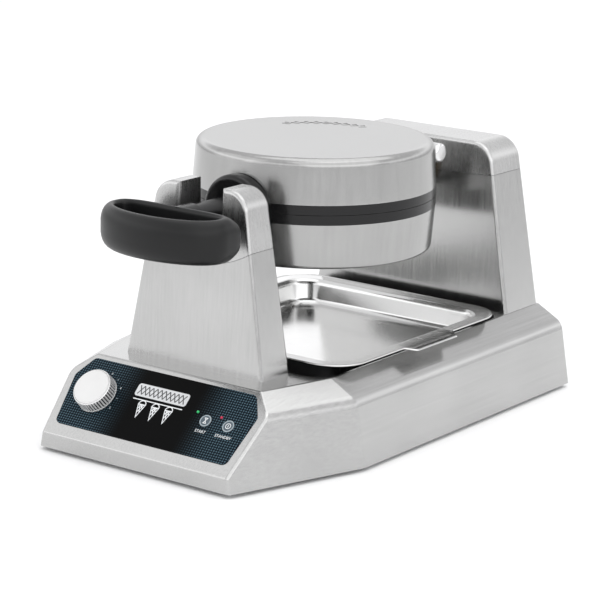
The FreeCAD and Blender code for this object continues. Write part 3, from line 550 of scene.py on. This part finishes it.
def build_knob():
    centre = Vector(joints["knob_turn"]["pos_m"])
    matrix = PANEL.copy()
    matrix.translation = centre - panel_out * centre.dot(panel_out)
    base, crown = reach("knob_body", panel_out)
    cap_low, cap_high = reach("knob_cap", panel_out)
    radius, cap_radius = [(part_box(node)[1].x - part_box(node)[0].x) / 2 for node in ("knob_body", "knob_cap")]
    flutes, flute_depth, turned_steps = 44, 0.9 * MM, 96

    def wave(step, here, height):
        if here < cap_radius + 0.3 * MM or height > crown - 0.7 * MM or height < base + 0.45 * MM:
            return 0.0
        return -flute_depth * FLUTE_WAVE[step % len(FLUTE_WAVE)]

    skirt = [(3.0 * MM, base + 1.0 * MM), (radius - 0.6 * MM, base), (radius, base + 0.4 * MM),
             (radius, base + 0.5 * MM), (radius - 0.1 * MM, base + 2.0 * MM),
             (radius - 0.6 * MM, crown - 0.9 * MM), (radius - 0.7 * MM, crown - 0.6 * MM),
             (radius - 0.8 * MM, crown - 0.4 * MM), (radius - 1.1 * MM, crown - 0.05 * MM),
             (cap_radius + 0.12 * MM, crown - 0.05 * MM), (cap_radius + 0.12 * MM, crown - 1.5 * MM),
             (3.0 * MM, crown - 1.5 * MM)]
    piece("knob_skirt", turned(skirt, matrix, flutes * len(FLUTE_WAVE), wave), "knob",
          finishes["knob_metal"], ["knob_body"], smooth=35)
    # A dark core inside the skirt shows in the bottoms of the flutes: painted shade in the grooves.
    core = [(3.5 * MM, base + 1.4 * MM), (radius - 0.6 * MM, base + 1.0 * MM),
            (radius - 0.6 * MM, base + 2.2 * MM), (radius - 1.1 * MM, crown - 1.0 * MM),
            (3.5 * MM, crown - 1.7 * MM)]
    # Painted shade: this near-black piece shows only where the flutes dip below the skirt's surface.
    piece("knob_groove_shade", turned(core, matrix, turned_steps), "knob", finishes["black_part"],
          smooth=50)
    disc = [(2.0 * MM, cap_low), (cap_radius - 0.1 * MM, cap_low),
            (cap_radius - 0.1 * MM, cap_high - 0.9 * MM),
            (cap_radius - 0.25 * MM, cap_high - 0.3 * MM), (cap_radius - 0.6 * MM, cap_high),
            (cap_radius - 0.9 * MM, cap_high), (cap_radius - 1.4 * MM, cap_high - 0.12 * MM),
            (cap_radius - 3.5 * MM, cap_high - 0.15 * MM), (1.0 * MM, cap_high - 0.1 * MM)]
    piece("knob_disc", turned(disc, matrix, turned_steps), "knob", finishes["knob_white"],
          ["knob_cap"], smooth=50)


# ---- printed marks ----

# Heights of the ink's underside and top above the film.
INK_LOW, INK_HIGH = -0.02 * MM, 0.06 * MM


def on_film(point):
    """Where a point lies in the panel's own plane."""
    local = PANEL.inverted() @ Vector(point)
    return local.x, local.y


def lettering(name, text, size, x, y):
    """Small generic words or numbers, centred on a point of the film."""
    font = bpy.data.curves.new(name, "FONT")
    font.body = text
    font.size = size
    font.align_x, font.align_y = "CENTER", "CENTER"
    font.extrude = (INK_HIGH - INK_LOW) / 2
    font.resolution_u = 3
    holder = placed(name + "_line", font)
    bpy.context.view_layer.update()
    mesh = bpy.data.meshes.new_from_object(holder.evaluated_get(bpy.context.evaluated_depsgraph_get()))
    bpy.data.objects.remove(holder)
    mesh.name = name
    mesh.materials.clear()
    mesh.materials.append(print_white)
    mesh.transform(PANEL @ Matrix.Translation((x, y, (INK_HIGH + INK_LOW) / 2)))
    item = placed(name, mesh)
    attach(item, "base")


def build_dial():
    """Ten marks round the knob: short ticks, and the numbers 1 to 5 between them."""
    x, y = on_film(Vector(joints["knob_turn"]["pos_m"]))
    first_angle, angle_step = 216.5, 27
    number_radius, number_size = 19.6 * MM, 2.6 * MM
    tick_inner, tick_outer, tick_width = 18.4 * MM, 19.9 * MM, 0.4 * MM
    ticks = []
    for index in range(10):
        turn = math.radians(first_angle - angle_step * index)
        way = Vector((math.cos(turn), math.sin(turn)))
        if index % 2:
            number = index // 2 + 1
            lettering(f"dial_number_{number}", str(number), number_size, x + way.x * number_radius,
                      y + way.y * number_radius)
        else:
            ends = [(x + way.x * radius, y + way.y * radius) for radius in (tick_inner, tick_outer)]
            ticks.append(ribbon(ends, tick_width, PANEL, INK_LOW, INK_HIGH))
    piece("dial_ticks", joined(*ticks), "base", print_grey)


def cone(x, y, size):
    """The lines of a small cone pictogram: a lattice-marked cone with a rolled top."""
    tip, half, top = (x, y - size * 0.55), size * 0.26, y + size * 0.30
    paths = [([tip, (x + half, top), (x - half, top)], True)]
    for share in (0.36, 0.68):
        for side in (-half, half):
            start = (x + side * share, tip[1] + (top - tip[1]) * share)
            paths.append(([start, (x - side * (1 - share) * 0.9, top)], False))
    paths.append((arc(x, top, half, 0, 180, 10), False))
    return paths


def build_badge():
    """A plain badge with a lattice band and three cone pictograms, where printed words would stand."""
    middle_x, film_tall = -1.5 * MM, film_high - film_low
    low, high = film_tall * 0.62, film_tall * 0.80
    half, corner = 25 * MM, 2.4 * MM
    plate = outline(middle_x - half, middle_x + half, low, high, corner, 6, (1, 1, 1, 1))
    piece("badge_plate", prism(plate, PANEL, INK_LOW, INK_HIGH), "base", print_silver)
    zigzags, pitch, margin, line_width = 11, 4.1 * MM, 1.7 * MM, 0.8 * MM
    band_low, band_middle = low + margin, low + margin + (high - low - 2 * margin) / 2
    strips = []
    for index in range(zigzags):
        start = middle_x - 22.6 * MM + index * pitch
        up = [(start, band_low), (start + pitch / 2, band_middle), (start + pitch, band_low)]
        down = [(x, 2 * band_middle - y) for x, y in up]
        for path, top in ((up, INK_HIGH + 0.05 * MM), (down, INK_HIGH + 0.06 * MM)):
            strips.append(ribbon(path, line_width, PANEL, INK_HIGH - 0.02 * MM, top))
    piece("badge_lattice", joined(*strips), "base", finishes["black_part"])
    cone_size, cone_drop, rule_drop, rule_half = 13 * MM, 10.2 * MM, 2.6 * MM, 24 * MM
    lines = []
    for x in (-13 * MM, 0.0, 13 * MM):
        for number, (path, closed) in enumerate(cone(middle_x + x, low - cone_drop, cone_size)):
            # Each line ends a little higher than the one before, so that no two tops lie in one plane.
            lines.append(ribbon(path, 0.75 * MM, PANEL, INK_LOW, INK_HIGH + 0.004 * MM * number, closed))
    rule = [(middle_x - rule_half, low - rule_drop), (middle_x + rule_half, low - rule_drop)]
    lines.append(ribbon(rule, line_width, PANEL, INK_LOW, INK_HIGH))
    piece("cone_marks", joined(*lines), "base", print_white)


def build_key(node, word, icon):
    """A key's ring, icon and word. icon lists lines in mm from the key's middle, and whether each closes."""
    low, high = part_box(node)
    x, y = on_film((low + high) / 2)
    top = reach(node, panel_out)[1] - film_top
    ring_radius, ring_width, line_width = 4.45 * MM, 0.9 * MM, 0.55 * MM
    word_size, word_drop = 3.4 * MM, 9.4 * MM
    rim = ribbon(ring_of(x, y, ring_radius), ring_width, PANEL, top - 0.3 * MM, top + 0.06 * MM, True)
    piece(node + "_ring", rim, node, print_grey)
    lines = []
    for index, (path, closed) in enumerate(icon):
        spots = [(x + across * MM, y + along * MM) for across, along in path]
        line_top = top + (0.07 + 0.01 * index) * MM
        lines.append(ribbon(spots, line_width, PANEL, top - 0.02 * MM, line_top, closed))
    piece(node + "_icon", joined(*lines), node, print_white)
    lettering(node + "_word", word, word_size, x, y - word_drop)


# The keys' icons: lines in mm from the key's middle, and whether each closes.
HOURGLASS = [([(-1.25, 2.2), (1.25, 2.2), (-0.125, 0), (1.25, -2.2), (-1.25, -2.2), (0.125, 0)], True)]
POWER_MARK = [(ring_of(0, 0, 2.1), True), ([(0, -1.0), (0, 1.0)], False)]


# ---- cooking plates ----

def cut_to(item, cutter_shape, skin):
    """Keeps the part of an object that lies inside a closed mesh."""
    cutter = placed("cutter", mesh_of("cutter", *cutter_shape))
    trim = item.modifiers.new("trim", "BOOLEAN")
    trim.operation, trim.solver, trim.object = "INTERSECT", "EXACT", cutter
    bpy.context.view_layer.update()
    result = bpy.data.meshes.new_from_object(item.evaluated_get(bpy.context.evaluated_depsgraph_get()))
    item.modifiers.clear()
    item.data = result
    result.materials.clear()
    result.materials.append(skin)
    bpy.data.objects.remove(cutter)
    return result


def build_plate(inward, node, body):
    """A cooking plate with a fine diamond lattice cut into its face, inside a plain margin.
    inward is the direction along Z from the face into the plate."""
    low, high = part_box(node)
    centre = (low + high) / 2
    radius = (high.x - low.x) / 2
    face, back = (high.z, low.z) if inward < 0 else (low.z, high.z)
    field, depth, pitch = radius - 7 * MM, 0.9 * MM, 8.2 * MM
    half_top, half_floor = 0.75 * MM, 0.35 * MM
    field_sink, lattice_depth = 0.3 * MM, 2.4 * MM
    steps, sharp, iron = 128, 30, finishes["plate_iron"]

    # A square net of grooves, turned by 45 degrees, wider than the plate.
    lines = []
    count = int(field // pitch) + 1
    for index in range(-count, count + 1):
        lines += [index * pitch + side for side in (-half_top, -half_floor, half_floor, half_top)]
    spin = Matrix.Rotation(math.radians(45), 3, "Z")
    face_field = face + inward * field_sink
    size = len(lines)
    points, faces = [], []
    for row, v in enumerate(lines):
        for column, u in enumerate(lines):
            grooved = row % 4 in (1, 2) or column % 4 in (1, 2)
            spot = spin @ Vector((u, v, 0))
            points.append((centre.x + spot.x, centre.y + spot.y,
                           face_field + inward * (depth if grooved else 0.0)))
    for row in range(size - 1):
        for column in range(size - 1):
            start = row * size + column
            faces.append([start, start + 1, start + size + 1, start + size])
    border = (list(range(size)) + [row * size + size - 1 for row in range(1, size)]
              + [(size - 1) * size + column for column in range(size - 2, -1, -1)]
              + [row * size for row in range(size - 2, 0, -1)])
    base = len(points)
    points += [(points[index][0], points[index][1], face_field + inward * lattice_depth) for index in border]
    for step in range(len(border)):
        after = (step + 1) % len(border)
        faces.append([border[step], border[after], base + after, base + step])
    faces.append([base + step for step in range(len(border))])
    lattice = piece(node + "_lattice", (points, faces), body, iron, smooth=sharp)

    place = Matrix.Translation((centre.x, centre.y, 0))
    field_rings = [[place @ Vector((*circle_point(field, step, steps), height)) for step in range(steps)]
                   for height in (face - inward * MM, face + inward * 2.2 * MM)]
    shade(cut_to(lattice, loops(field_rings), iron), sharp)

    profile = [(field - 0.05 * MM, face + inward * 2.5 * MM), (field - 0.05 * MM, face + inward * 0.5 * MM),
               (field + 0.5 * MM, face), (radius - 1.2 * MM, face),
               (radius - 0.4 * MM, face + inward * 0.4 * MM),
               (radius, face + inward * 1.2 * MM), (radius, back - inward * 0.4 * MM),
               (radius - 0.5 * MM, back), (0.5 * MM, back), (0.5 * MM, face + inward * 2.45 * MM)]
    piece(node + "_body", turned(profile, place, steps, closed_profile=True), body, iron,
          [node], smooth=35)


# ---- raised band on the lid ----

def build_lid_band():
    """A small raised lattice on the lid's top, in place of raised words."""
    low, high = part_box("upper_shell")
    centre = (low + high) / 2
    radius, half_height, line_width, cells = 62 * MM, 4.2 * MM, 1.3 * MM, 9
    start, end = 152.0, 84.0
    strips = []
    for index in range(cells):
        first, middle, last = [math.radians(start + (end - start) * (index + share) / cells)
                               for share in (0.08, 0.5, 0.92)]
        spots = [(radius, first), (radius + half_height, middle),
                 (radius, last), (radius - half_height, middle)]
        path = [(centre.x + r * math.cos(a), centre.y + r * math.sin(a)) for r, a in spots]
        strips.append(ribbon(path, line_width, Matrix.Identity(4), high.z - 0.2 * MM, high.z + 0.35 * MM,
                             closed=True))
    piece("lid_band", joined(*strips), "lid", shell_cast)


build_handle()
build_tray()
build_knob()
build_dial()
build_badge()
build_key("start_key", "START", HOURGLASS)
build_key("standby_key", "STANDBY", POWER_MARK)
build_plate(-1, "lower_plate", "head")
build_plate(1, "upper_plate", "lid")
build_lid_band()


# ---- floor, light and camera ----

def build_floor():
    half_width, cells, drop = 7.0, 24, 0.2 * MM
    mesh = bpy.data.meshes.new("floor")
    work = bmesh.new()
    bmesh.ops.create_grid(work, x_segments=cells, y_segments=cells, size=half_width)
    work.to_mesh(mesh)
    work.free()
    mesh.materials.append(finish("floor_pale", (0.90, 0.90, 0.90), 0.8, [((3, 3, 3), 2.0, 0.004, 0.02, 0.0)],
                                 Specular_IOR_Level=0.1))
    floor = placed("floor", mesh)
    floor.location.z = -drop


# The sky's brightness, from straight down (0) to straight up (1).
SKY = [(0.0, 0.75), (0.12, 0.80), (0.30, 1.45), (0.52, 0.80), (1.0, 0.95)]
SKY_STRENGTH, SKY_BLUE = 1.1, 1.01


def build_world():
    world = bpy.data.worlds.new("studio")
    bpy.context.scene.world = world
    world.use_nodes = True
    nodes = Nodes(world.node_tree)
    height = nodes.add("SeparateXYZ", {0: nodes.add("TexCoord").outputs["Generated"]}).outputs["Z"]
    ramp = nodes.add("ValToRGB", {0: height})
    elements = ramp.color_ramp.elements
    while len(elements) < len(SKY):
        elements.new(0.5)
    for element, (spot, value) in zip(elements, SKY):
        element.position = spot
        element.color = rgb(value, value, value * SKY_BLUE)
    background = world.node_tree.nodes["Background"]
    nodes.feed(background.inputs["Color"], ramp.outputs["Color"])
    background.inputs["Strength"].default_value = SKY_STRENGTH


LIGHT_TARGET = Vector((0, 0, 0.1))


def softbox(name, place, power, size):
    """A square area light; power in watts, place and size in metres."""
    data = bpy.data.lights.new(name, "AREA")
    data.shape = "SQUARE"
    data.size = size
    data.energy = power
    lamp = placed(name, data)
    lamp.location = place
    lamp.rotation_mode = "QUATERNION"
    lamp.rotation_quaternion = (LIGHT_TARGET - Vector(place)).to_track_quat("-Z", "Y")


# Places in metres, roll in degrees, lens and sensor in mm.
CAMERA_PLACE, CAMERA_TARGET = Vector((1.14868, -1.56427, 0.5941)), Vector((0.0059, -0.0033, 0.0909))
CAMERA_ROLL, CAMERA_LENS, SENSOR_WIDTH = 1.24, 146.79, 36.0
CLIP_NEAR, CLIP_FAR = 0.05, 60.0


def build_camera():
    data = bpy.data.cameras.new("view")
    data.lens, data.sensor_width = CAMERA_LENS, SENSOR_WIDTH
    data.clip_start, data.clip_end = CLIP_NEAR, CLIP_FAR
    ahead = (CAMERA_TARGET - CAMERA_PLACE).normalized()
    right = ahead.cross(Z).normalized()
    up = right.cross(ahead)
    roll = math.radians(CAMERA_ROLL)
    axes = (right * math.cos(roll) + up * math.sin(roll),
            up * math.cos(roll) - right * math.sin(roll), -ahead)
    camera = placed("view", data)
    camera.matrix_world = Matrix.Translation(CAMERA_PLACE) @ Matrix(axes).transposed().to_4x4()
    bpy.context.scene.camera = camera


build_floor()
build_world()
softbox("key", (1.7, -0.9, 1.7), 20.0, 3.4)
softbox("fill", (-2.3, -2.0, 1.5), 12.0, 3.2)
softbox("top", (0.1, 0.5, 2.6), 16.0, 2.6)
build_camera()
bpy.context.scene.view_settings.view_transform = "Standard"
